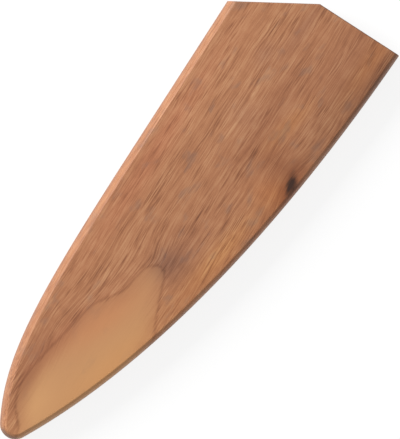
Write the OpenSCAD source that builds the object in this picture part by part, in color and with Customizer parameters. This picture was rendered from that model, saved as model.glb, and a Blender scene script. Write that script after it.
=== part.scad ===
// Slip-on blade guard for a chef's knife: a glued walnut laminate with a flat slot and holding magnets.
// Millimetres. X runs from the tip to the mouth, Y towards the spine side, Z out of the front face.
// The origin is under the middle of the outline, on the back face.

/* [Outline] */
// Length from the tip to the mouth
guard_length = 216; // [160:1:320]
// Width at the mouth, from the spine side to the heel corner
guard_width = 70.7; // [56:0.1:95]
// Length of the square part of the mouth, next to the heel corner
mouth_square = 38.9; // [20:0.1:50]
// How far the rest of the mouth slopes back by the time it reaches the spine side
mouth_setback = 19.1; // [6:0.1:36]
// Length of the nose, where the spine side leaves its straight line
nose_length = 121; // [80:1:135]
// Depth of the tip below the spine line
tip_drop = 20.6; // [14:0.1:28]
// Radius of the rounded tip
tip_r = 6.3; // [4:0.1:10]
// Angle that the tip's arc turns on the spine side
tip_spine_angle = 60.5; // [45:0.5:75]
// Angle that the tip's arc turns on the cutting-edge side
tip_edge_angle = 62; // [50:0.5:75]
// Slope of the cutting-edge side at the heel corner, in degrees
heel_slope = 1.8; // [0:0.1:6]
// Fullness of the nose curve where it leaves the spine line
nose_fullness = 0.58; // [0.4:0.01:0.7]
// Fullness of the nose curve at the tip
nose_tip_fullness = 0.22; // [0.1:0.01:0.35]
// Fullness of the belly curve at the tip
belly_tip_fullness = 0.226; // [0.1:0.002:0.35]
// Fullness of the belly curve towards the heel
belly_fullness = 0.469; // [0.3:0.001:0.6]

/* [Section] */
// Thickness of each outer board
board_t = 4.8; // [4.2:0.1:8]
// Thickness of the slot, and of the strips beside it
slot_t = 4.4; // [2:0.1:8]
// How far the side wall bulges out between the bevels
wall_bulge = 1.45; // [0.4:0.05:2]
// Width of the bevel round each face
bevel_w = 1; // [0.4:0.1:1.6]
// Height of the bevel round each face
bevel_h = 0.9; // [0.4:0.1:2]
// Eased arris along the mouth's outer edges
mouth_ease = 0.4; // [0.1:0.1:1]

/* [Slot] */
// Wall between the slot and the spine side
spine_wall = 7.5; // [5:0.1:12]
// Wall between the slot and the cutting-edge side
edge_wall = 9; // [5:0.1:14]

/* [Magnets] */
// Diameter of the disc magnets
magnet_d = 10; // [6:0.5:14]
// Thickness of the disc magnets
magnet_t = 2.5; // [1.5:0.1:3.2]
// Chamfer on a magnet's rims
magnet_chamfer = 0.3; // [0.1:0.1:0.6]
// Radial gap between a magnet and its pocket
pocket_clear = 0.1; // [0.05:0.05:0.3]
// How far a magnet lies below the inner face of its board
magnet_recess = 0.2; // [0.05:0.05:0.6]
// Distance from the mouth to the heel magnets
heel_magnet_setback = 32; // [26:1:40]
// Distance from the tip to the tip magnets
tip_magnet_setback = 72; // [60:1:85]

/* [Hidden] */

walnut_face = [0.69, 0.49, 0.35];
walnut_core = [0.52, 0.35, 0.23];
nickel = [0.76, 0.76, 0.74];

// Facet counts of the curved outline and of the bulged wall
nose_steps = 16;
tip_steps = 10;
belly_steps = 26;
wall_steps = 5;
magnet_fn = 64;

// How far a cutting solid runs past what it cuts
overrun = 10;

total_t = 2 * board_t + slot_t;
tip_x = -guard_length / 2;
mouth_x = guard_length / 2;
spine_y = guard_width / 2;
heel_y = -guard_width / 2;

// Curves

function bezier(p, t) =
    pow(1 - t, 3) * p[0] + 3 * pow(1 - t, 2) * t * p[1] + 3 * (1 - t) * t * t * p[2] + pow(t, 3) * p[3];
function bezier_slope(p, t) =
    pow(1 - t, 2) * (p[1] - p[0]) + 2 * (1 - t) * t * (p[2] - p[1]) + t * t * (p[3] - p[2]);
function unit(v) = v / norm(v);
function turned_right(v) = [v.y, -v.x];

// A point of the outline with its outward normal, for a curve that keeps the guard on its left
function curve_points(p, steps) =
    [for (i = [0:steps]) [bezier(p, i / steps), turned_right(unit(bezier_slope(p, i / steps)))]];

// Outer outline: the spine line, the nose curve, the tip's arc and the belly curve

tip_centre = [tip_x + tip_r, spine_y - tip_drop];
function tip_direction(angle) = [-cos(angle), sin(angle)];

nose_start = [tip_x + nose_length, spine_y];
nose_end = tip_centre + tip_r * tip_direction(tip_spine_angle);
nose_chord = norm(nose_start - nose_end);
nose_curve = [
    nose_start,
    nose_start - [nose_fullness * nose_chord, 0],
    nose_end - nose_tip_fullness * nose_chord * [-sin(tip_spine_angle), -cos(tip_spine_angle)],
    nose_end,
];

heel_corner = [mouth_x, heel_y];
heel_direction = [cos(heel_slope), -sin(heel_slope)];
belly_start = tip_centre + tip_r * tip_direction(-tip_edge_angle);
belly_chord = norm(heel_corner - belly_start);
belly_curve = [
    belly_start,
    belly_start + belly_tip_fullness * belly_chord * [sin(tip_edge_angle), -cos(tip_edge_angle)],
    heel_corner - belly_fullness * belly_chord * heel_direction,
    heel_corner,
];

spine_side = concat([[[mouth_x + overrun, spine_y], [0, 1]]], curve_points(nose_curve, nose_steps));
tip_arc = [
    for (i = [1:tip_steps - 1])
        let (angle = tip_spine_angle - (tip_spine_angle + tip_edge_angle) * i / tip_steps)
            [tip_centre + tip_r * tip_direction(angle), tip_direction(angle)]
];
edge_side = concat(
    curve_points(belly_curve, belly_steps),
    [[heel_corner + overrun * heel_direction, turned_right(heel_direction)]]
);
outline = concat(spine_side, tip_arc, edge_side);

// Mouth: a square part from the heel corner, then a slope back to the spine side

mouth_rise = guard_width - mouth_square;
mouth_slope = unit([-mouth_setback, mouth_rise]);
mouth_normal = turned_right(mouth_slope);

// The peak between the mouth's two parts, with both moved in by an inset
function mouth_peak(inset) = [
    mouth_x - inset,
    heel_y + mouth_square - inset * (1 - mouth_normal.x) / mouth_normal.y,
];
function mouth_outline(inset) =
    let (peak = mouth_peak(inset), far = peak + 2 * guard_width * mouth_slope)
        [[2 * tip_x, 2 * heel_y], [peak.x, 2 * heel_y], peak, far, [2 * tip_x, far.y]];

// Side wall: an arc between the bevels, and a straight bevel up to each face

wall_half = total_t / 2 - bevel_h;
wall_r = (wall_half * wall_half + wall_bulge * wall_bulge) / (2 * wall_bulge);
function wall_inset(z) =
    let (h = abs(z - total_t / 2))
        h <= wall_half
            ? wall_r - sqrt(wall_r * wall_r - h * h)
            : wall_bulge + bevel_w * (h - wall_half) / bevel_h;

front_z = board_t + slot_t;
board_heights = concat(
    [for (i = [0:wall_steps]) front_z + (total_t - bevel_h - front_z) * i / wall_steps],
    [total_t]
);
core_heights = [for (i = [0:wall_steps - 1]) board_t + slot_t * i / (wall_steps - 1)];

// Slot: the outline's two sides moved in by their walls, until they cross near the tip

function moved_in(side, wall) = [for (o = side) o[0] - wall * o[1]];
slot_spine = moved_in(spine_side, spine_wall);
slot_edge = moved_in(edge_side, edge_wall);
function slot_width(x) = lookup(x, slot_spine) - lookup(x, slot_edge);
function slot_middle(x) = (lookup(x, slot_spine) + lookup(x, slot_edge)) / 2;
function crossing(low, high, rounds) =
    rounds == 0
        ? high
        : let (x = (low + high) / 2)
            slot_width(x) > 0 ? crossing(low, x, rounds - 1) : crossing(x, high, rounds - 1);

slot_tip_x = max(slot_spine[len(slot_spine) - 1].x, slot_edge[0].x);
slot_end_x = slot_width(slot_tip_x) > 0 ? slot_tip_x : crossing(slot_tip_x, 0, 24);
slot_end = [slot_end_x, slot_middle(slot_end_x)];
slot_outline = concat(
    [for (p = slot_spine) if (p.x > slot_end_x) p],
    [slot_end],
    [for (p = slot_edge) if (p.x > slot_end_x) p]
);

// Magnets: on the middle line of the slot

heel_magnet_x = mouth_x - heel_magnet_setback;
tip_magnet_x = tip_x + tip_magnet_setback;
mid_magnet_x = (heel_magnet_x + tip_magnet_x) / 2;
pocket_depth = magnet_t + magnet_recess;

// A closed solid through rings of equal length, each running anticlockwise seen from above
module lofted(rings) {
    n = len(rings[0]);
    last = (len(rings) - 1) * n;
    sides = [
        for (k = [0:len(rings) - 2], i = [0:n - 1])
            let (a = k * n + i, b = k * n + (i + 1) % n)
                each [[a, a + n, b + n], [a, b + n, b]]
    ];
    bottom = [[for (i = [0:n - 1]) i]];
    top = [[for (i = [n - 1:-1:0]) last + i]];
    polyhedron(points = [for (ring = rings) each ring], faces = concat(bottom, sides, top), convexity = 4);
}

function lifted(points, z) = [for (p = points) [p.x, p.y, z]];

// The guard's outside between the given heights, still running on past the mouth
module outside(heights) {
    lofted([for (z = heights) lifted(moved_in(outline, wall_inset(z)), z)]);
}

// Everything behind the mouth, with the front face's arris eased
module behind_mouth() {
    lofted([
        lifted(mouth_outline(0), 0),
        lifted(mouth_outline(0), total_t - mouth_ease),
        lifted(mouth_outline(2 * mouth_ease), total_t + mouth_ease),
    ]);
}

module at_magnet(x) {
    translate([x, slot_middle(x), 0]) children();
}

module board() {
    difference() {
        intersection() {
            outside(board_heights);
            behind_mouth();
        }
        for (x = [heel_magnet_x, mid_magnet_x, tip_magnet_x])
            at_magnet(x)
                translate([0, 0, front_z - overrun])
                    cylinder(d = magnet_d + 2 * pocket_clear, h = overrun + pocket_depth, $fn = magnet_fn);
    }
}

// The middle layer: the strips round the slot, before the mitre at the tip parts them
module core() {
    difference() {
        outside(core_heights);
        linear_extrude(height = total_t) polygon(slot_outline);
    }
}

// One side of the mitre, which runs from the outer tip to the slot's end and on along the slot
module mitre_side(side) {
    tip = [tip_x, spine_y - tip_drop];
    before_tip = tip + overrun * unit(tip - slot_end);
    past_mouth = [mouth_x + 2 * overrun, slot_middle(mouth_x)];
    far_y = side * guard_width;
    linear_extrude(height = total_t)
        polygon([before_tip, slot_end, past_mouth, [past_mouth.x, far_y], [before_tip.x, far_y]]);
}

module spacer(side) {
    intersection() {
        core();
        mitre_side(side);
        linear_extrude(height = total_t) polygon(mouth_outline(0));
    }
}

// A disc magnet seated on the floor of its pocket in the front board
module magnet(x) {
    r = magnet_d / 2;
    c = magnet_chamfer;
    at_magnet(x)
        translate([0, 0, front_z + magnet_recess])
            rotate_extrude($fn = magnet_fn)
                polygon([[0, 0], [r - c, 0], [r, c], [r, magnet_t - c], [r - c, magnet_t], [0, magnet_t]]);
}

// The same on the back, mirrored about the middle of the thickness
module on_back() {
    translate([0, 0, total_t]) mirror([0, 0, 1]) children();
}

module front_board() {
    color(walnut_face) board();
}

module back_board() {
    color(walnut_face) on_back() board();
}

module spine_spacer() {
    color(walnut_core) spacer(1);
}

module edge_spacer() {
    color(walnut_core) spacer(-1);
}

module front_magnet(x) {
    color(nickel) magnet(x);
}

module back_magnet(x) {
    color(nickel) on_back() magnet(x);
}

front_board();
back_board();
spine_spacer();
edge_spacer();
front_magnet(heel_magnet_x);  // front_magnet_heel
front_magnet(mid_magnet_x);  // front_magnet_mid
front_magnet(tip_magnet_x);  // front_magnet_tip
back_magnet(heel_magnet_x);  // back_magnet_heel
back_magnet(mid_magnet_x);  // back_magnet_mid
back_magnet(tip_magnet_x);  // back_magnet_tip
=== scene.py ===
"""Looks of the walnut blade guard: fine meshes and solid walnut around the fixed CAD frame."""

import math

import bmesh
import bpy
import numpy as np
from mathutils import Matrix, Vector
from mathutils.geometry import delaunay_2d_cdt


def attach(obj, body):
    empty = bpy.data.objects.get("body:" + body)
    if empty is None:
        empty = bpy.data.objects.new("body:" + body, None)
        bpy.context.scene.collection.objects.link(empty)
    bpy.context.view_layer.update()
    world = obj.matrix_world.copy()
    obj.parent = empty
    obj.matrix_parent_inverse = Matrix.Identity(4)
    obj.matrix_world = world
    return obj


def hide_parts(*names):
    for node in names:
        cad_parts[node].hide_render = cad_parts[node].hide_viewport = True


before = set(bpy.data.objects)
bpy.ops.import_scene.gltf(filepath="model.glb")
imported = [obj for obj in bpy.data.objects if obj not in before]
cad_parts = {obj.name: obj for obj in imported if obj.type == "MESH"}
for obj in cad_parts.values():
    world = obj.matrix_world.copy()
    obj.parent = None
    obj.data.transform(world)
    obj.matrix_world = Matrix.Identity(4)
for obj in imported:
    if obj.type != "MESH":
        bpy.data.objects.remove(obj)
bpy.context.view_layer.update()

MM = 0.001

# Driving sizes of the guard in millimetres and degrees, the same as the solid model's
GUARD_LENGTH = 216.0
GUARD_WIDTH = 70.7
MOUTH_SQUARE = 38.9
MOUTH_SETBACK = 19.1
NOSE_LENGTH = 121.0
TIP_DROP = 20.6
TIP_R = 6.3
TIP_SPINE_ANGLE = 60.5
TIP_EDGE_ANGLE = 62.0
HEEL_SLOPE = 1.8
NOSE_FULLNESS = 0.58
NOSE_TIP_FULLNESS = 0.22
BELLY_TIP_FULLNESS = 0.226
BELLY_FULLNESS = 0.469
BOARD_T = 4.8
SLOT_T = 4.4
WALL_BULGE = 1.45
BEVEL_W = 1.0
BEVEL_H = 0.9
MOUTH_EASE = 0.4
SPINE_WALL = 7.5
EDGE_WALL = 9.0
MAGNET_D = 10.0
MAGNET_T = 2.5
POCKET_CLEAR = 0.1
MAGNET_RECESS = 0.2
HEEL_MAGNET_SETBACK = 32.0
TIP_MAGNET_SETBACK = 72.0

TOTAL_T = 2 * BOARD_T + SLOT_T
FRONT_Z = BOARD_T + SLOT_T
TIP_X = -GUARD_LENGTH / 2
MOUTH_X = GUARD_LENGTH / 2
NOSE_X = TIP_X + NOSE_LENGTH
SPINE_Y = GUARD_WIDTH / 2
HEEL_Y = -GUARD_WIDTH / 2
TIP_Y = SPINE_Y - TIP_DROP

# Reach of the rounding at the bevel's inner and outer arris, and the flat rim beside it
INNER_ARRIS = 0.208
OUTER_ARRIS = 0.32
FLAT_RIM = 0.64
ARRIS_STEPS = 3

# Steps along the outline's runs, round its tip and round the pockets
STRAIGHT_STEPS = 50
NOSE_STEPS = 56
HALF_TIP_STEPS = 14
BELLY_STEPS = 110
SQUARE_STEPS = 40
SLANT_STEPS = 36
CIRCLE_STEPS = 48

# Heights at which the walls of a board and of a strip are drawn, and steps across a strip's end
BOARD_LEVELS = 10
STRIP_LEVELS = 7
STRIP_END_STEPS = 8

# Spacing of a face's inner points along and across the grain, and the share of it kept clear at edges
FACE_GRID = (0.9, 0.55)
INNER_GRID = (4, 3)
GRID_CLEAR = 0.6

WELD_GAP = 0.002
SHARP_ANGLE = math.radians(24)
SLOT_END_HALVINGS = 24

# What the triangulation is told: to keep the triangles inside, and how near points are the same
TRIANGLES_INSIDE = 1
SAME_POINT = 1e-6


# Outline

def unit(v):
    return v / np.linalg.norm(v, axis=-1, keepdims=True)


def direction(degrees):
    """The way out from the tip's centre: 0 points away from the mouth, and 90 to the spine."""
    a = np.radians(degrees)
    return np.stack([-np.cos(a), np.sin(a)], -1)


def bezier(p, steps):
    """Points and outward normals of a cubic curve that keeps the guard on its left."""
    t = np.linspace(0, 1, steps + 1)[:, None]
    s = 1 - t
    points = s**3 * p[0] + 3 * s**2 * t * p[1] + 3 * s * t**2 * p[2] + t**3 * p[3]
    slope = unit(s**2 * (p[1] - p[0]) + 2 * s * t * (p[2] - p[1]) + t**2 * (p[3] - p[2]))
    return points, np.stack([slope[:, 1], -slope[:, 0]], -1)


TIP_CENTRE = np.array([TIP_X + TIP_R, TIP_Y])


def spine_side():
    """The straight spine from the mouth, the nose and half the tip, as points and normals."""
    straight_x = np.linspace(MOUTH_X, NOSE_X, STRAIGHT_STEPS, endpoint=False)
    straight = np.stack([straight_x, np.full(STRAIGHT_STEPS, SPINE_Y)], -1)
    straight_normals = np.tile([0.0, 1.0], (STRAIGHT_STEPS, 1))

    start = np.array([NOSE_X, SPINE_Y])
    end = TIP_CENTRE + TIP_R * direction(TIP_SPINE_ANGLE)
    chord = np.linalg.norm(start - end)
    angle = math.radians(TIP_SPINE_ANGLE)
    back = np.array([math.sin(angle), math.cos(angle)])
    leave = start - [NOSE_FULLNESS * chord, 0]
    arrive = end + NOSE_TIP_FULLNESS * chord * back
    nose, nose_normals = bezier([start, leave, arrive, end], NOSE_STEPS)

    tip = direction(np.linspace(TIP_SPINE_ANGLE, 0, HALF_TIP_STEPS + 1)[1:])
    points = np.vstack([straight, nose, TIP_CENTRE + TIP_R * tip])
    return points, np.vstack([straight_normals, nose_normals, tip])


def edge_side():
    """The other half of the tip and the belly to the heel's corner, as points and normals."""
    tip = direction(np.linspace(0, -TIP_EDGE_ANGLE, HALF_TIP_STEPS + 1)[:-1])

    start = TIP_CENTRE + TIP_R * direction(-TIP_EDGE_ANGLE)
    heel = np.array([MOUTH_X, HEEL_Y])
    chord = np.linalg.norm(heel - start)
    angle = math.radians(TIP_EDGE_ANGLE)
    away = np.array([math.sin(angle), -math.cos(angle)])
    slope = math.radians(HEEL_SLOPE)
    to_heel = np.array([math.cos(slope), -math.sin(slope)])
    leave = start + BELLY_TIP_FULLNESS * chord * away
    arrive = heel - BELLY_FULLNESS * chord * to_heel
    belly, belly_normals = bezier([start, leave, arrive, heel], BELLY_STEPS)
    return np.vstack([TIP_CENTRE + TIP_R * tip, belly]), np.vstack([tip, belly_normals])


SPINE_SIDE = spine_side()
EDGE_SIDE = edge_side()
MOUTH_RISE = GUARD_WIDTH - MOUTH_SQUARE
MOUTH_SLOPE = unit(np.array([-MOUTH_SETBACK, MOUTH_RISE]))
MOUTH_NORMAL = np.array([MOUTH_SLOPE[1], -MOUTH_SLOPE[0]])


def mouth_peak(inset):
    """Where the mouth's square part meets its slant, moved in by an inset."""
    drop = inset * (1 - MOUTH_NORMAL[0]) / MOUTH_NORMAL[1]
    return np.array([MOUTH_X - inset, HEEL_Y + MOUTH_SQUARE - drop])


def on_slant(y, inset):
    """The point of the mouth's slant at a height y."""
    peak = mouth_peak(inset)
    return peak + MOUTH_SLOPE * (y - peak[1]) / MOUTH_SLOPE[1]


def moved_in(side, inset):
    points, normals = side
    return points - inset * normals


def ending_at(points, x):
    """A curve from the mouth whose straight run is shrunk so that it starts at x."""
    out = points.copy()
    straight = out[:, 0] > NOSE_X
    share = (x - NOSE_X) / (out[0, 0] - NOSE_X)
    out[straight, 0] = NOSE_X + (out[straight, 0] - NOSE_X) * share
    return out


def stopped_at(points, x):
    """A curve towards the mouth that goes no further than x."""
    out = points.copy()
    out[:, 0] = np.minimum(out[:, 0], x)
    return out


def between(a, b, steps):
    t = np.linspace(0, 1, steps + 1)[1:-1, None]
    return a + (b - a) * t


def outer_ring(inset, ease):
    """The closed outline moved in by an inset, with the mouth moved in by its ease."""
    spine_corner = on_slant(SPINE_Y - inset, ease)
    spine = ending_at(moved_in(SPINE_SIDE, inset), spine_corner[0])
    edge = stopped_at(moved_in(EDGE_SIDE, inset), MOUTH_X - ease)
    heel_corner = np.array([MOUTH_X - ease, edge[-1, 1]])
    peak = mouth_peak(ease)
    square = between(heel_corner, peak, SQUARE_STEPS)
    slant = between(peak, spine_corner, SLANT_STEPS)
    return np.vstack([spine, edge, square, peak[None], slant])


def lifted(points, z):
    return np.column_stack([points, np.full(len(points), z)])


# Wall section

def wall_inset(z):
    """How far the side wall lies inside the widest outline at a height."""
    half = TOTAL_T / 2 - BEVEL_H
    r = (half * half + WALL_BULGE * WALL_BULGE) / (2 * WALL_BULGE)
    h = abs(z - TOTAL_T / 2)
    if h <= half:
        return r - math.sqrt(r * r - h * h)
    return WALL_BULGE + BEVEL_W * (h - half) / BEVEL_H


def softened(profile, at, reach):
    """A profile of (inset, z) with the corner at an index rounded."""
    before, corner, after = (np.array(profile[i]) for i in (at - 1, at, at + 1))
    a = corner + unit(before - corner) * reach
    b = corner + unit(after - corner) * reach
    t = np.linspace(0, 1, ARRIS_STEPS + 1)[:, None]
    curve = (1 - t) ** 2 * a + 2 * (1 - t) * t * corner + t**2 * b
    return list(profile[:at]) + [tuple(p) for p in curve] + list(profile[at + 1:])


def board_profile():
    """(inset, z) up the front board's wall, over the bevel and on to the face."""
    wall = [(wall_inset(z), z) for z in np.linspace(FRONT_Z, TOTAL_T - BEVEL_H, BOARD_LEVELS)]
    rim = wall_inset(TOTAL_T)
    profile = wall + [(rim, TOTAL_T), (rim + FLAT_RIM, TOTAL_T)]
    profile = softened(profile, len(wall), INNER_ARRIS)
    return softened(profile, len(wall) - 1, OUTER_ARRIS)


def mouth_ease(z):
    return max(0.0, z - (TOTAL_T - MOUTH_EASE))


# Faces

def inside(points, ring):
    """Which points lie inside a closed ring, by how often a level line crosses it."""
    x, y = points[:, 0], points[:, 1]
    hit = np.zeros(len(points), bool)
    for (x1, y1), (x2, y2) in zip(ring, np.roll(ring, -1, 0)):
        if y1 == y2:
            continue
        crosses = (y1 > y) != (y2 > y)
        hit ^= crosses & (x < (x2 - x1) * (y - y1) / (y2 - y1) + x1)
    return hit


def segment_distance(points, a, b):
    ab = b - a
    length_squared = ab @ ab
    if length_squared == 0:
        return np.linalg.norm(points - a, axis=1)
    t = np.clip(((points - a) @ ab) / length_squared, 0, 1)
    return np.linalg.norm(points - (a + t[:, None] * ab), axis=1)


def boundary_distance(points, ring):
    best = np.full(len(points), np.inf)
    for a, b in zip(ring, np.roll(ring, -1, 0)):
        best = np.minimum(best, segment_distance(points, a, b))
    return best


def circle(centre, r):
    a = np.linspace(0, 2 * np.pi, CIRCLE_STEPS, endpoint=False)
    return centre + r * np.column_stack([np.cos(a), np.sin(a)])


def closed(start, count):
    """The edges of a closed loop of points."""
    return [(start + i, start + (i + 1) % count) for i in range(count)]


def inner_points(ring, grid, holes):
    """Staggered points inside a ring, clear of its line and of the round holes."""
    xs = np.arange(ring[:, 0].min(), ring[:, 0].max(), grid[0])
    ys = np.arange(ring[:, 1].min(), ring[:, 1].max(), grid[1])
    points = np.stack(np.meshgrid(xs, ys), -1)
    points[1::2, :, 0] += grid[0] / 2
    points = points.reshape(-1, 2)
    clear = GRID_CLEAR * grid[1]
    keep = inside(points, ring) & (boundary_distance(points, ring) > clear)
    for centre, r in holes:
        keep &= np.linalg.norm(points - centre, axis=1) > r + clear
    return points[keep]


def filled(ring, grid, holes):
    """Triangles over a closed outline, with inner points on a grid and round holes left open."""
    points, edges = [ring], closed(0, len(ring))
    for centre, r in holes:
        edges += closed(sum(len(p) for p in points), CIRCLE_STEPS)
        points.append(circle(centre, r))
    if grid:
        points.append(inner_points(ring, grid, holes))
    flat = [Vector(p) for p in np.vstack(points)]
    found = delaunay_2d_cdt(flat, edges, [], TRIANGLES_INSIDE, SAME_POINT)
    co = np.array([tuple(v) for v in found[0]])
    faces = []
    for face in found[2]:
        middle = co[list(face)].mean(0)
        if not any(np.linalg.norm(middle - centre) < r for centre, r in holes):
            faces.append(tuple(face))
    return co, faces


def turns_left(a, b, c):
    return (b[0] - a[0]) * (c[1] - a[1]) - (b[1] - a[1]) * (c[0] - a[0]) > 0


class Solid:
    """Vertices and faces that are joined by place at the end."""

    def __init__(self):
        self.points = []
        self.faces = []

    def add(self, points, faces):
        start = len(self.points)
        self.points += [tuple(p) for p in points]
        self.faces += [tuple(start + i for i in face) for face in faces]

    def loft(self, rings):
        n = len(rings[0])
        faces = []
        for k in range(len(rings) - 1):
            low, high = k * n, (k + 1) * n
            faces += [(low + i, low + j, high + j, high + i) for i, j in closed(0, n)]
        self.add(np.vstack(rings), faces)

    def cap(self, ring, z, up, grid=None, holes=()):
        """A flat face over a ring, turned up or down."""
        co, faces = filled(ring, grid, holes)
        turned = [f if turns_left(*co[list(f[:3])]) == up else f[::-1] for f in faces]
        self.add(lifted(co, z), turned)

    def to_object(self, name, mirror=False):
        """A smooth Blender object, mirrored about the middle of the thickness if asked."""
        co = np.array(self.points)
        if mirror:
            co[:, 2] = TOTAL_T - co[:, 2]
        mesh = bpy.data.meshes.new(name)
        mesh.from_pydata((co * MM).tolist(), [], self.faces)
        obj = bpy.data.objects.new(name, mesh)
        bpy.context.scene.collection.objects.link(obj)
        weld(mesh)
        mesh.shade_smooth()
        mesh.set_sharp_from_angle(angle=SHARP_ANGLE)
        return obj


def weld(mesh):
    bm = bmesh.new()
    bm.from_mesh(mesh)
    bmesh.ops.remove_doubles(bm, verts=bm.verts, dist=WELD_GAP * MM)
    bmesh.ops.recalc_face_normals(bm, faces=bm.faces)
    bm.to_mesh(mesh)
    bm.free()


# Slot

def height_at(x, curve):
    order = np.argsort(curve[:, 0])
    return float(np.interp(x, curve[order, 0], curve[order, 1]))


def slot_curves():
    """The slot's two sides from the mouth to where they cross, and that crossing."""
    spine = moved_in(SPINE_SIDE, SPINE_WALL)[:-HALF_TIP_STEPS]
    edge = moved_in(EDGE_SIDE, EDGE_WALL)[HALF_TIP_STEPS:]
    low, high = max(spine[-1, 0], edge[0, 0]), 0.0
    for _ in range(SLOT_END_HALVINGS):
        x = (low + high) / 2
        if height_at(x, spine) > height_at(x, edge):
            high = x
        else:
            low = x
    end = np.array([high, height_at(high, spine)])
    return spine[spine[:, 0] > high], edge[edge[:, 0] > high], end


SLOT_SPINE, SLOT_EDGE, SLOT_END = slot_curves()


def slot_middle(x):
    return (height_at(x, SLOT_SPINE) + height_at(x, SLOT_EDGE)) / 2


HEEL_MAGNET_X = MOUTH_X - HEEL_MAGNET_SETBACK
TIP_MAGNET_X = TIP_X + TIP_MAGNET_SETBACK
MAGNET_XS = (HEEL_MAGNET_X, (HEEL_MAGNET_X + TIP_MAGNET_X) / 2, TIP_MAGNET_X)


# Pieces

def board_solid():
    """The front board: wall, bevel and face, with the magnets' pockets in its inner face."""
    solid = Solid()
    rings = [lifted(outer_ring(inset, mouth_ease(z)), z) for inset, z in board_profile()]
    solid.loft(rings)
    solid.cap(rings[-1][:, :2], TOTAL_T, up=True, grid=FACE_GRID)
    pocket_r = MAGNET_D / 2 + POCKET_CLEAR
    holes = [(np.array([x, slot_middle(x)]), pocket_r) for x in MAGNET_XS]
    solid.cap(rings[0][:, :2], FRONT_Z, up=False, grid=INNER_GRID, holes=holes)
    floor_z = FRONT_Z + MAGNET_T + MAGNET_RECESS
    for centre, r in holes:
        ring = circle(centre, r)
        solid.loft([lifted(ring, FRONT_Z), lifted(ring, floor_z)])
        solid.cap(ring, floor_z, up=False)
    return solid


def spine_strip_ring(inset):
    """The spine strip's wall, the mitre at the slot's end, the slot's side and the strip's end."""
    corner = on_slant(SPINE_Y - inset, 0)
    lip = on_slant(SPINE_Y - SPINE_WALL, 0)
    outer = ending_at(moved_in(SPINE_SIDE, inset), corner[0])
    inner = ending_at(SLOT_SPINE, lip[0])[::-1]
    return np.vstack([outer, SLOT_END[None], inner, between(lip, corner, STRIP_END_STEPS)])


def edge_strip_ring(inset):
    """The edge strip's wall, its end, the slot's side and the mitre at the slot's end."""
    outer = stopped_at(moved_in(EDGE_SIDE, inset), MOUTH_X)
    inner = stopped_at(SLOT_EDGE, MOUTH_X)[::-1]
    return np.vstack([outer, between(outer[-1], inner[0], STRIP_END_STEPS), inner, SLOT_END[None]])


def strip_solid(ring_at):
    """A strip between the boards, from the ring that it has at an inset of the wall."""
    solid = Solid()
    rings = [lifted(ring_at(wall_inset(z)), z) for z in np.linspace(BOARD_T, FRONT_Z, STRIP_LEVELS)]
    solid.loft(rings)
    solid.cap(rings[0][:, :2], BOARD_T, up=False)
    solid.cap(rings[-1][:, :2], FRONT_Z, up=True)
    return solid


# Figure of the wood, with painted shade along the edge in some patches. Places are (from the tip,
# below the spine line) in millimetres

# The pale tongue of a growth ring cut flat at the tip
TONGUE = [
    (6, -22), (14, -15.5), (24, -13.2), (36, -14.6), (46, -16.4), (56, -18.2), (64, -20.4),
    (70, -24.2), (76, -27.6), (83, -28.9), (88.5, -30.6), (91.6, -34.2), (90.2, -37.8),
    (84, -40.4), (77, -43.2), (71, -46.2), (65, -48.6), (58, -50), (40, -60), (0, -60), (-10, -30),
]
TONGUE_CURVE_STEPS = 6

# How the grain bends aside above the tongue: amount, the place it turns about, its reach from the
# border, where it starts along the guard, and the lowest place that it touches
BEND = 0.12
BEND_CENTRE = 70
BEND_REACH = 9
BEND_START = (30, 55)
BEND_FLOOR = -35

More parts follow.
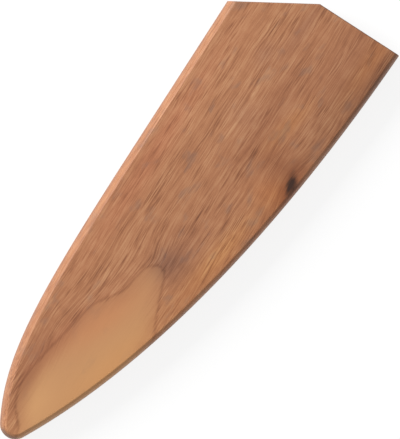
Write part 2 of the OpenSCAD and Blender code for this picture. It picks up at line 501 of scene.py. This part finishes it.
# Soft patches of wood tone, some with painted shade: place, half sizes along and across the grain,
# tilt in degrees, gain in red, green, blue
PATCHES_AND_SHADE = [
    # Inside the tongue and along its upper border
    ((40, -35), (34, 9), -14, (1.12, 1.16, 1.10)),
    ((48, -42), (20, 5), -17, (1.06, 1.02, 0.92)),
    ((16, -22), (12, 5), 8, (1.14, 1.18, 1.14)),
    ((60, -27), (14, 4), -22, (1.04, 0.93, 0.90)),
    ((26, -14), (14, 2.6), 12, (0.80, 0.74, 0.74)),
    ((44, -17), (14, 2.2), -8, (0.90, 0.84, 0.84)),
    # The smudge beyond its end, and the streaks below that
    ((94, -36.5), (4.5, 4), -20, (0.72, 0.74, 0.84)),
    ((100, -40), (9, 5), 0, (0.86, 0.85, 0.90)),
    ((88, -50), (10, 3), -12, (0.90, 0.84, 0.82)),
    # Golden patches near the edge, and the pinker spine
    ((108, -53), (16, 3.2), -9, (1.14, 1.12, 0.92)),
    ((168, -48), (9, 2.2), -12, (1.13, 1.13, 0.98)),
    ((130, -8), (34, 3.2), 0, (1.06, 0.97, 0.98)),
    # Darker and greyer wood towards the mouth
    ((150, -42), (16, 5), 0, (0.90, 0.87, 0.86)),
    ((172, -38), (20, 4), -3, (0.88, 0.84, 0.84)),
    ((196, -52), (24, 6), -2, (0.90, 0.87, 0.88)),
    ((152, -53), (6, 4.5), 28, (0.80, 0.72, 0.68)),
    ((162, -30), (4, 4.5), 20, (1.00, 1.04, 1.10)),
    ((187, -24), (4, 2.4), 0, (0.88, 0.88, 0.94)),
    ((204, -31.5), (10, 1.8), -2, (0.86, 0.85, 0.90)),
    ((180, -16), (30, 5), 0, (1.04, 1.05, 1.05)),
    # The heel's corner and the edge on both sides of the knot; the dark bands along the edge are wood
    # tone and partly painted shade of the side away from the key lamp
    ((210, -62), (14, 2.6), -2, (1.08, 1.02, 0.88)),
    # Painted shade: a dark band over the edge's bevel by the heel, partly the wood's own tone
    ((205, -68.2), (18, 1.9), -2, (0.62, 0.58, 0.58)),
    ((140, -62), (10, 3), 6, (0.88, 0.80, 0.70)),
    ((141, -56), (4, 6), 40, (1.06, 0.98, 0.86)),
    ((120, -60), (14, 2.4), -7, (0.86, 0.80, 0.80)),
    # Painted shade: a broad grey darkening of the edge side near the mouth, partly the wood's own tone
    ((186, -62), (26, 5), -2, (0.80, 0.79, 0.79)),
    # The plain middle
    ((80, -12), (20, 4), -4, (0.98, 0.97, 0.95)),
    ((108, -28), (14, 5), 0, (0.96, 0.95, 0.94)),
]

# The knot at the edge: place, half sizes of its dark heart, tilt, and the swell of the grain over it
KNOT = (148.5, -61.6)
KNOT_SIZE = (6.4, 3.0)
KNOT_TILT = 14
KNOT_SWELL = 3.4
KNOT_REACH = (13, 9)

# Depth in the tongue and in the knot of a piece that has neither
NOWHERE = -50.0


def smoothstep(low, high, x):
    t = np.clip((x - low) / (high - low), 0, 1)
    return t * t * (3 - 2 * t)


def rotated(dx, dy, degrees):
    c, s = math.cos(math.radians(degrees)), math.sin(math.radians(degrees))
    return c * dx + s * dy, -s * dx + c * dy


def smooth_curve(points, steps):
    """A closed curve through points, by Catmull-Rom."""
    p = np.array(points, float)
    before, after, later = np.roll(p, 1, 0), np.roll(p, -1, 0), np.roll(p, -2, 0)
    out = []
    for i in range(len(p)):
        for t in np.arange(steps) / steps:
            out.append(0.5 * (
                2 * p[i] + (after[i] - before[i]) * t
                + (2 * before[i] - 5 * p[i] + 4 * after[i] - later[i]) * t**2
                + (3 * p[i] - before[i] - 3 * after[i] + later[i]) * t**3
            ))
    return np.array(out)


def tongue_depth(x, y):
    """How deep each place lies in the tongue. Outside it is minus the distance to the border."""
    places = np.column_stack([x, y])
    ring = smooth_curve(TONGUE, TONGUE_CURVE_STEPS)
    distance = boundary_distance(places, ring)
    return np.where(inside(places, ring), distance, -distance)


def grain_shift(x, y, tongue):
    """How far the grain is moved across by the tongue and over the knot."""
    beside = np.exp(-((tongue / BEND_REACH) ** 2)) * smoothstep(*BEND_START, x) * (y > BEND_FLOOR)
    dx, dy = x - KNOT[0], np.maximum(y - KNOT[1], 0)
    swell = np.exp(-((dx / KNOT_REACH[0]) ** 2)) * np.exp(-((dy / KNOT_REACH[1]) ** 2))
    return BEND * (x - BEND_CENTRE) * beside - KNOT_SWELL * swell


def knot_depth(x, y):
    """One at the knot's middle, and nothing on the border of its heart."""
    along, across = rotated(x - KNOT[0], y - KNOT[1], KNOT_TILT)
    return 1 - np.hypot(along / KNOT_SIZE[0], across / KNOT_SIZE[1])


def patch_tint_and_shade(x, y):
    """The gain that all the soft patches together give each place: wood tone, with painted shade along
    the edge.
    """
    tint_and_shade = np.ones((len(x), 3))
    for (px, py), (half_length, half_width), tilt, gain in PATCHES_AND_SHADE:
        along, across = rotated(x - px, y - py, tilt)
        weight = np.exp(-0.5 * ((along / half_length) ** 2 + (across / half_width) ** 2))
        tint_and_shade *= np.array(gain) ** weight[:, None]
    return tint_and_shade


def store(mesh, name, data):
    vectors = data.ndim == 2
    layer = mesh.attributes.new(name, "FLOAT_VECTOR" if vectors else "FLOAT", "POINT")
    layer.data.foreach_set("vector" if vectors else "value", data.astype(np.float32).ravel())


def store_figure(mesh, placed):
    """Stores each point's place in the wood, its colour gain (wood tone with some painted shade), and
    depth in the tongue and in the knot.
    """
    co = np.zeros(len(mesh.vertices) * 3)
    mesh.vertices.foreach_get("co", co)
    co = co.reshape(-1, 3) / MM
    x, y, z = co[:, 0] - TIP_X, co[:, 1] - SPINE_Y, co[:, 2]
    tint_and_shade = np.ones((len(co), 3))
    tongue = np.full(len(co), NOWHERE)
    knot = np.full(len(co), NOWHERE)
    shift = np.zeros(len(co))
    if placed:
        tint_and_shade = patch_tint_and_shade(x, y)
        tongue = tongue_depth(x, y)
        knot = knot_depth(x, y)
        shift = grain_shift(x, y, tongue)
    store(mesh, "grain", np.column_stack([x, y + shift, z]))
    store(mesh, "tint_and_shade", tint_and_shade)
    store(mesh, "tongue", tongue)
    store(mesh, "knot", knot)


# Nodes

def linear(r, g, b):
    """A linear colour from one written in 0 to 255 as it shows, by the sRGB curve."""
    out = []
    for c in (r, g, b):
        c /= 255
        out.append(c / 12.92 if c <= 0.04045 else ((c + 0.055) / 1.055) ** 2.4)
    return (*out, 1.0)


class Graph:
    """Short names for the nodes of one node tree."""

    def __init__(self, tree):
        self.tree = tree

    def node(self, kind, **settings):
        node = self.tree.nodes.new(kind)
        for key, value in settings.items():
            setattr(node, key, value)
        return node

    def plug(self, socket, value):
        """Links an output to a socket, or writes a plain value on it."""
        if isinstance(value, bpy.types.NodeSocket):
            self.tree.links.new(value, socket)
        else:
            socket.default_value = value

    def attribute(self, name, output):
        return self.node("ShaderNodeAttribute", attribute_name=name).outputs[output]

    def math(self, operation, a, b=0.0):
        node = self.node("ShaderNodeMath", operation=operation)
        self.plug(node.inputs[0], a)
        self.plug(node.inputs[1], b)
        return node.outputs[0]

    def product(self, *factors):
        out = factors[0]
        for factor in factors[1:]:
            out = self.math("MULTIPLY", out, factor)
        return out

    def total(self, *terms):
        out = terms[0]
        for term in terms[1:]:
            out = self.math("ADD", out, term)
        return out

    def less(self, a, b, gain):
        """a without gain times b."""
        return self.math("SUBTRACT", a, self.math("MULTIPLY", b, gain))

    def centred(self, noise, gain):
        """A noise of 0 to 1 as a value around nothing, times a gain."""
        return self.math("MULTIPLY", self.math("SUBTRACT", noise, 0.5), gain)

    def vector(self, operation, a, b):
        node = self.node("ShaderNodeVectorMath", operation=operation)
        self.plug(node.inputs[0], a)
        self.plug(node.inputs[1], b)
        return node.outputs[0]

    def axis(self, vector, index):
        node = self.node("ShaderNodeSeparateXYZ")
        self.plug(node.inputs[0], vector)
        return node.outputs[index]

    def noise(self, place, size, detail, rough, shift=(0, 0, 0)):
        """Noise of 0 to 1 whose features are size long and thick, in millimetres."""
        length, thickness = size
        scale = (1 / length, 1 / thickness, 1 / thickness)
        moved = self.vector("ADD", self.vector("MULTIPLY", place, scale), shift)
        node = self.node("ShaderNodeTexNoise")
        settings = (("Vector", moved), ("Scale", 1.0), ("Detail", detail), ("Roughness", rough))
        for key, value in settings:
            self.plug(node.inputs[key], value)
        return node.outputs["Fac"]

    def step(self, value, low, high, to_low=0.0, to_high=1.0):
        """A smooth step between two values."""
        node = self.node("ShaderNodeMapRange", interpolation_type="SMOOTHSTEP")
        for socket, v in zip(node.inputs, (value, low, high, to_low, to_high)):
            self.plug(socket, v)
        return node.outputs[0]

    def mix(self, factor, a, b, blend="MIX"):
        node = self.node("ShaderNodeMix", data_type="RGBA", blend_type=blend)
        sockets = {s.identifier: s for s in node.inputs}
        for key, value in (("Factor_Float", factor), ("A_Color", a), ("B_Color", b)):
            self.plug(sockets[key], value)
        return next(s for s in node.outputs if s.identifier == "Result_Color")

    def ramp(self, value, stops):
        node = self.node("ShaderNodeValToRGB")
        elements = node.color_ramp.elements
        while len(elements) < len(stops):
            elements.new(0.5)
        for element, (position, colour) in zip(elements, stops):
            element.position = position
            element.color = colour
        self.plug(node.inputs[0], value)
        return node.outputs["Color"]


def new_material(name):
    """A material with its graph and the inputs of its shader."""
    material = bpy.data.materials.new(name)
    material.use_nodes = True
    g = Graph(material.node_tree)
    return material, g, g.tree.nodes["Principled BSDF"].inputs


# Walnut

WALNUT_STOPS = [
    (0.00, linear(52, 29, 19)),
    (0.22, linear(100, 61, 42)),
    (0.40, linear(147, 96, 66)),
    (0.52, linear(174, 118, 83)),
    (0.68, linear(198, 147, 108)),
    (1.00, linear(226, 184, 145)),
]
MIDDLE_TONE = 0.52
CORE_TONE = -0.05
TONGUE_TAN = linear(190, 139, 97)
KNOT_DARK = linear(44, 24, 16)
KNOT_RED = linear(140, 84, 56)
GREY_SMOKE = linear(128, 104, 92)
END_BROWN = linear(74, 46, 32)
GLUE_BROWN = linear(60, 38, 26)

# Noises: length and thickness of the features in millimetres, detail, roughness and shift
WANDER = ((45, 14), 2.0, 0.5)
WANDER_WIDTH = 3.0
SWAYING_NOISES = {
    "streak": ((14.0, 0.75), 2.5, 0.62, 3.1),
    "fine": ((8.0, 0.42), 1.0, 0.5, 7.7),
    "band": ((70.0, 4.5), 3.0, 0.55, 1.3),
    "cluster": ((26.0, 3.6), 2.0, 0.5, 5.9),
}
STILL_NOISES = {
    "ripple": ((5.0, 13.0), 2.0, 0.5, 9.2),
    "smoke": ((9.0, 5.0), 2.5, 0.55, 11.5),
    "speckle": ((0.55, 0.45), 2.0, 0.6, 13.1),
}

# How strongly each noise moves the tone
STREAK_GAIN = 0.27
FINE_GAIN = 0.50
BAND_GAIN = 0.22
RIPPLE_GAIN = 0.12
SPECKLE_GAIN = 0.09
PORE_GAIN = 0.12
SMOKE_GAIN = 0.34

# Where the cluster noise crowds the fibres, and where it and the fine noise open pores
CROWDING = (0.38, 0.66, 0.45, 1.35)
PORE_CLUSTERS = (0.46, 0.62)
PORE_CORES = (0.60, 0.72)
SMOKE_CLOUDS = (0.56, 0.74)

# The tongue: raggedness and width of its border, calm inside, share of tan, and its dark line
TONGUE_RAGGED = 2.6
TONGUE_BORDER = (-0.8, 1.4)
TONGUE_CALM = 0.70
TONGUE_TAN_SHARE = (0.0, 8.0, 0.30, 0.80)
LINE_SHARPNESS = -2.6
LINE_BREAKS = (0.35, 0.7, 0.5, 1.0)
LINE_GAIN = 0.13

# The knot: raggedness by streaks and smoke, and the steps of its reddish and dark wood
KNOT_STREAKS = 0.9
KNOT_SMOKE = 0.7
RED_WOOD = (-1.3, 0.3, 0.0, 0.55)
DARK_WOOD = (0.0, 0.75, 0.0, 0.95)

# End grain by how squarely the surface cuts across the grain, and how dark it is
END_CUT = (0.55, 0.9)
END_SHARE = 0.45
# Glue hairline by the distance from the seam in millimetres
GLUE_LINE = (0.03, 0.12, 0.75, 0.0)

GLOSS = 0.50
STREAK_GLOSS = 0.16
PORE_GLOSS = 0.2
SPECULAR = 0.30
BUMP_STRENGTH = 0.35
BUMP_DEPTH = 0.00012
FIBRE_HEIGHT = 0.8
PORE_HEIGHT = 0.6


def wood_noises(g, shift):
    """The noises of one piece of wood by name. Some sway with a slow wander of the grain."""
    grain = g.attribute("grain", "Vector")
    sway = g.node("ShaderNodeCombineXYZ")
    g.plug(sway.inputs[1], g.centred(g.noise(grain, *WANDER, shift), WANDER_WIDTH))
    swaying = g.vector("ADD", grain, sway.outputs[0])
    noises = {}
    for place, family in ((swaying, SWAYING_NOISES), (grain, STILL_NOISES)):
        for name, (size, detail, rough, along) in family.items():
            own_shift = (shift[0] + along, shift[1], shift[2])
            noises[name] = g.noise(place, size, detail, rough, own_shift)
    return noises


def tongue_line(g, tongue, noises):
    """The broken dark line along the tongue's border."""
    near = g.math("EXPONENT", g.product(tongue, tongue, LINE_SHARPNESS))
    return g.product(near, g.step(noises["streak"], *LINE_BREAKS))


def with_knot(g, colour, noises):
    """A colour with the knot's reddish and dark wood laid over it."""
    streaks = g.centred(noises["streak"], KNOT_STREAKS)
    smoke = g.centred(noises["smoke"], KNOT_SMOKE)
    ragged = g.total(g.attribute("knot", "Fac"), streaks, smoke)
    colour = g.mix(g.step(ragged, *RED_WOOD), colour, KNOT_RED)
    return g.mix(g.step(ragged, *DARK_WOOD), colour, KNOT_DARK)


def end_grain(g):
    """One where the surface cuts across the grain, and nothing where it runs along it."""
    normal = g.node("ShaderNodeNewGeometry").outputs["True Normal"]
    return g.step(g.math("ABSOLUTE", g.axis(normal, 0)), *END_CUT)


def glue_line(g):
    """A hairline where two layers meet on the outside."""
    height = g.axis(g.attribute("grain", "Vector"), 2)
    lines = []
    for seam in (BOARD_T, FRONT_Z):
        away = g.math("ABSOLUTE", g.math("SUBTRACT", height, seam))
        lines.append(g.step(away, *GLUE_LINE))
    return g.math("MAXIMUM", *lines)


def walnut(name, shift, tone=0.0):
    """Solid walnut: fine streaks and pores, broad bands, smoke, ripple and the placed figure, whose
    patches also hold painted shade along the edge.
    """
    material, g, shader = new_material(name)
    noises = wood_noises(g, shift)
    streak = noises["streak"]

    # Cycles keeps the name flame for volumes, so the attribute is called tongue
    tongue = g.total(g.attribute("tongue", "Fac"), g.centred(streak, TONGUE_RAGGED))
    in_tongue = g.step(tongue, *TONGUE_BORDER)
    plain = g.less(1.0, in_tongue, TONGUE_CALM)

    fibre = g.total(g.centred(streak, STREAK_GAIN), g.centred(noises["fine"], FINE_GAIN))
    fibre = g.product(fibre, g.step(noises["cluster"], *CROWDING), plain)
    pores = g.product(
        g.step(noises["fine"], *PORE_CORES), g.step(noises["cluster"], *PORE_CLUSTERS), plain
    )
    broad = g.total(g.centred(noises["band"], BAND_GAIN), g.centred(noises["ripple"], RIPPLE_GAIN))
    speckle = g.centred(noises["speckle"], SPECKLE_GAIN)
    value = g.total(MIDDLE_TONE + tone, fibre, g.product(broad, plain), speckle)
    value = g.less(value, pores, PORE_GAIN)
    value = g.less(value, tongue_line(g, tongue, noises), LINE_GAIN)

    colour = g.ramp(value, WALNUT_STOPS)
    tan = g.mix(g.step(tongue, *TONGUE_TAN_SHARE), colour, TONGUE_TAN)
    colour = g.mix(in_tongue, colour, tan)
    smoke = g.product(plain, SMOKE_GAIN, g.step(noises["smoke"], *SMOKE_CLOUDS))
    colour = g.mix(smoke, colour, GREY_SMOKE)
    colour = with_knot(g, colour, noises)
    # The placed patches' colour gain: wood tone, and painted shade along the front board's edge
    colour = g.mix(1.0, colour, g.attribute("tint_and_shade", "Vector"), "MULTIPLY")
    colour = g.mix(g.product(end_grain(g), END_SHARE), colour, END_BROWN)
    colour = g.mix(glue_line(g), colour, GLUE_BROWN)
    g.plug(shader["Base Color"], colour)

    gloss = g.total(GLOSS, g.centred(streak, STREAK_GLOSS), g.product(pores, PORE_GLOSS))
    g.plug(shader["Roughness"], gloss)
    shader["Specular IOR Level"].default_value = SPECULAR
    bump = g.node("ShaderNodeBump")
    bump.inputs["Strength"].default_value = BUMP_STRENGTH
    bump.inputs["Distance"].default_value = BUMP_DEPTH
    g.plug(bump.inputs["Height"], g.less(g.product(fibre, FIBRE_HEIGHT), pores, PORE_HEIGHT))
    g.plug(shader["Normal"], bump.outputs[0])
    return material


# Nickel

NICKEL_DARK = linear(196, 192, 184)
NICKEL_BRIGHT = linear(224, 221, 214)
NICKEL_CLOUD = ((2.5, 2.5), 3.0, 0.6)
NICKEL_ROUGHNESS = (0.3, 0.7, 0.16, 0.30)


def nickel(name):
    """Bright nickel plate with soft clouds in its colour and gloss."""
    material, g, shader = new_material(name)
    texture = g.node("ShaderNodeTexCoord").outputs["Object"]
    place = g.vector("MULTIPLY", texture, (1 / MM, 1 / MM, 1 / MM))
    cloud = g.noise(place, *NICKEL_CLOUD)
    g.plug(shader["Base Color"], g.mix(cloud, NICKEL_DARK, NICKEL_BRIGHT))
    shader["Metallic"].default_value = 1.0
    g.plug(shader["Roughness"], g.step(cloud, *NICKEL_ROUGHNESS))
    return material


# Stage

# Place on the guard that the middle of the view looks at, in millimetres
AIM = Vector((8.46, -3.35, 7.0)) * MM
CAMERA_DISTANCE = 2.4
# Tilt of the view towards the spine side, and turn of the grain in the picture from level
VIEW_TILT = math.radians(4.4)
VIEW_TURN = math.radians(57.2)
# Height of the view at the guard's distance, in metres
VIEW_HEIGHT = 0.1781
SENSOR_HEIGHT = 24.0

# World light on the guard, and the key lamp: angle from upright towards the spine side, level,
# share towards the mouth, distance and width in metres
AMBIENT = 0.42
KEY_ANGLE = math.radians(56)
KEY_LEVEL = 1.10
KEY_TO_MOUTH = 0.05
KEY_DISTANCE = 1.2
KEY_SIZE = 0.55

# Floor: half size and drop under the guard in metres, paint, glow, and the glow's share
FLOOR_HALF = 4.0
FLOOR_DROP = 0.0002
FLOOR_PAINT = (0.86, 0.86, 0.86, 1)
FLOOR_GLOW = 1.08
FLOOR_GLOW_SHARE = 0.78


def linked(name, data):
    obj = bpy.data.objects.new(name, data)
    bpy.context.scene.collection.objects.link(obj)
    return obj


def make_camera():
    data = bpy.data.cameras.new("camera")
    data.sensor_fit = "VERTICAL"
    data.sensor_height = SENSOR_HEIGHT
    data.lens = SENSOR_HEIGHT * CAMERA_DISTANCE / VIEW_HEIGHT
    camera = linked("camera", data)
    along = Vector((1, 0, 0))
    spineward = Vector((0, math.cos(VIEW_TILT), -math.sin(VIEW_TILT)))
    back = Vector((0, math.sin(VIEW_TILT), math.cos(VIEW_TILT)))
    right = math.cos(VIEW_TURN) * along - math.sin(VIEW_TURN) * spineward
    up = math.sin(VIEW_TURN) * along + math.cos(VIEW_TURN) * spineward
    turn = Matrix((right, up, back)).transposed().to_4x4()
    camera.matrix_world = Matrix.Translation(AIM + CAMERA_DISTANCE * back) @ turn
    bpy.context.scene.camera = camera


def seen_directly(g):
    """One for rays that show the background, straight or in a reflection."""
    path = g.node("ShaderNodeLightPath").outputs
    seen = g.math("MAXIMUM", path["Is Camera Ray"], path["Is Glossy Ray"])
    return g.math("MAXIMUM", seen, path["Is Transmission Ray"])


def make_world():
    """White where it is seen, and a plain level where it lights the guard."""
    world = bpy.data.worlds.new("world")
    world.use_nodes = True
    bpy.context.scene.world = world
    g = Graph(world.node_tree)
    background = g.tree.nodes["Background"].inputs
    background["Color"].default_value = (1, 1, 1, 1)
    g.plug(background["Strength"], g.step(seen_directly(g), 0.0, 1.0, AMBIENT, 1.0))


def make_key():
    data = bpy.data.lights.new("key", "AREA")
    data.shape = "SQUARE"
    data.size = KEY_SIZE
    data.energy = KEY_LEVEL * math.pi**2 * KEY_DISTANCE**2
    key = linked("key", data)
    towards = Vector((KEY_TO_MOUTH, math.sin(KEY_ANGLE), math.cos(KEY_ANGLE))).normalized()
    key.location = towards * KEY_DISTANCE
    key.rotation_euler = towards.to_track_quat("Z", "Y").to_euler()


def make_floor():
    """A pale floor that glows white where it is seen and still takes a faint shadow."""
    mesh = bpy.data.meshes.new("floor")
    turns = ((-1, -1), (1, -1), (1, 1), (-1, 1))
    square = [(x * FLOOR_HALF, y * FLOOR_HALF, 0) for x, y in turns]
    mesh.from_pydata(square, [], [(0, 1, 2, 3)])
    floor = linked("floor", mesh)
    floor.location.z = -FLOOR_DROP
    material, g, _ = new_material("floor")
    diffuse = g.node("ShaderNodeBsdfDiffuse")
    diffuse.inputs["Color"].default_value = FLOOR_PAINT
    glow = g.node("ShaderNodeEmission")
    glow.inputs["Strength"].default_value = FLOOR_GLOW
    mix = g.node("ShaderNodeMixShader")
    g.plug(mix.inputs[0], g.product(seen_directly(g), FLOOR_GLOW_SHARE))
    g.plug(mix.inputs[1], diffuse.outputs[0])
    g.plug(mix.inputs[2], glow.outputs[0])
    g.plug(g.tree.nodes["Material Output"].inputs["Surface"], mix.outputs[0])
    mesh.materials.append(material)


# Making

def dress(solid, node, material, placed=False, mirror=False):
    """A wooden piece in the place of a CAD node."""
    obj = solid.to_object(node + "_walnut", mirror)
    store_figure(obj.data, placed)
    obj.data.materials.append(material)
    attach(obj, "root")
    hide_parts(node)


def make_wood():
    """The four layers, each from its own part of the wood."""
    front = walnut("walnut_front", (0.0, 0.0, 0.0))
    back = walnut("walnut_back", (31.0, 17.0, 5.0))
    spine = walnut("walnut_spine", (53.0, 7.0, 11.0), CORE_TONE)
    edge = walnut("walnut_edge", (71.0, 3.0, 23.0), CORE_TONE)
    dress(board_solid(), "front_board", front, placed=True)
    dress(board_solid(), "back_board", back, mirror=True)
    dress(strip_solid(spine_strip_ring), "spine_spacer", spine)
    dress(strip_solid(edge_strip_ring), "edge_spacer", edge)


def plate_magnets():
    metal = nickel("nickel_plate")
    for name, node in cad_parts.items():
        if "magnet" in name:
            node.data.materials.clear()
            node.data.materials.append(metal)


make_camera()
make_world()
make_key()
make_floor()
make_wood()
plate_magnets()
bpy.context.scene.view_settings.view_transform = "Standard"
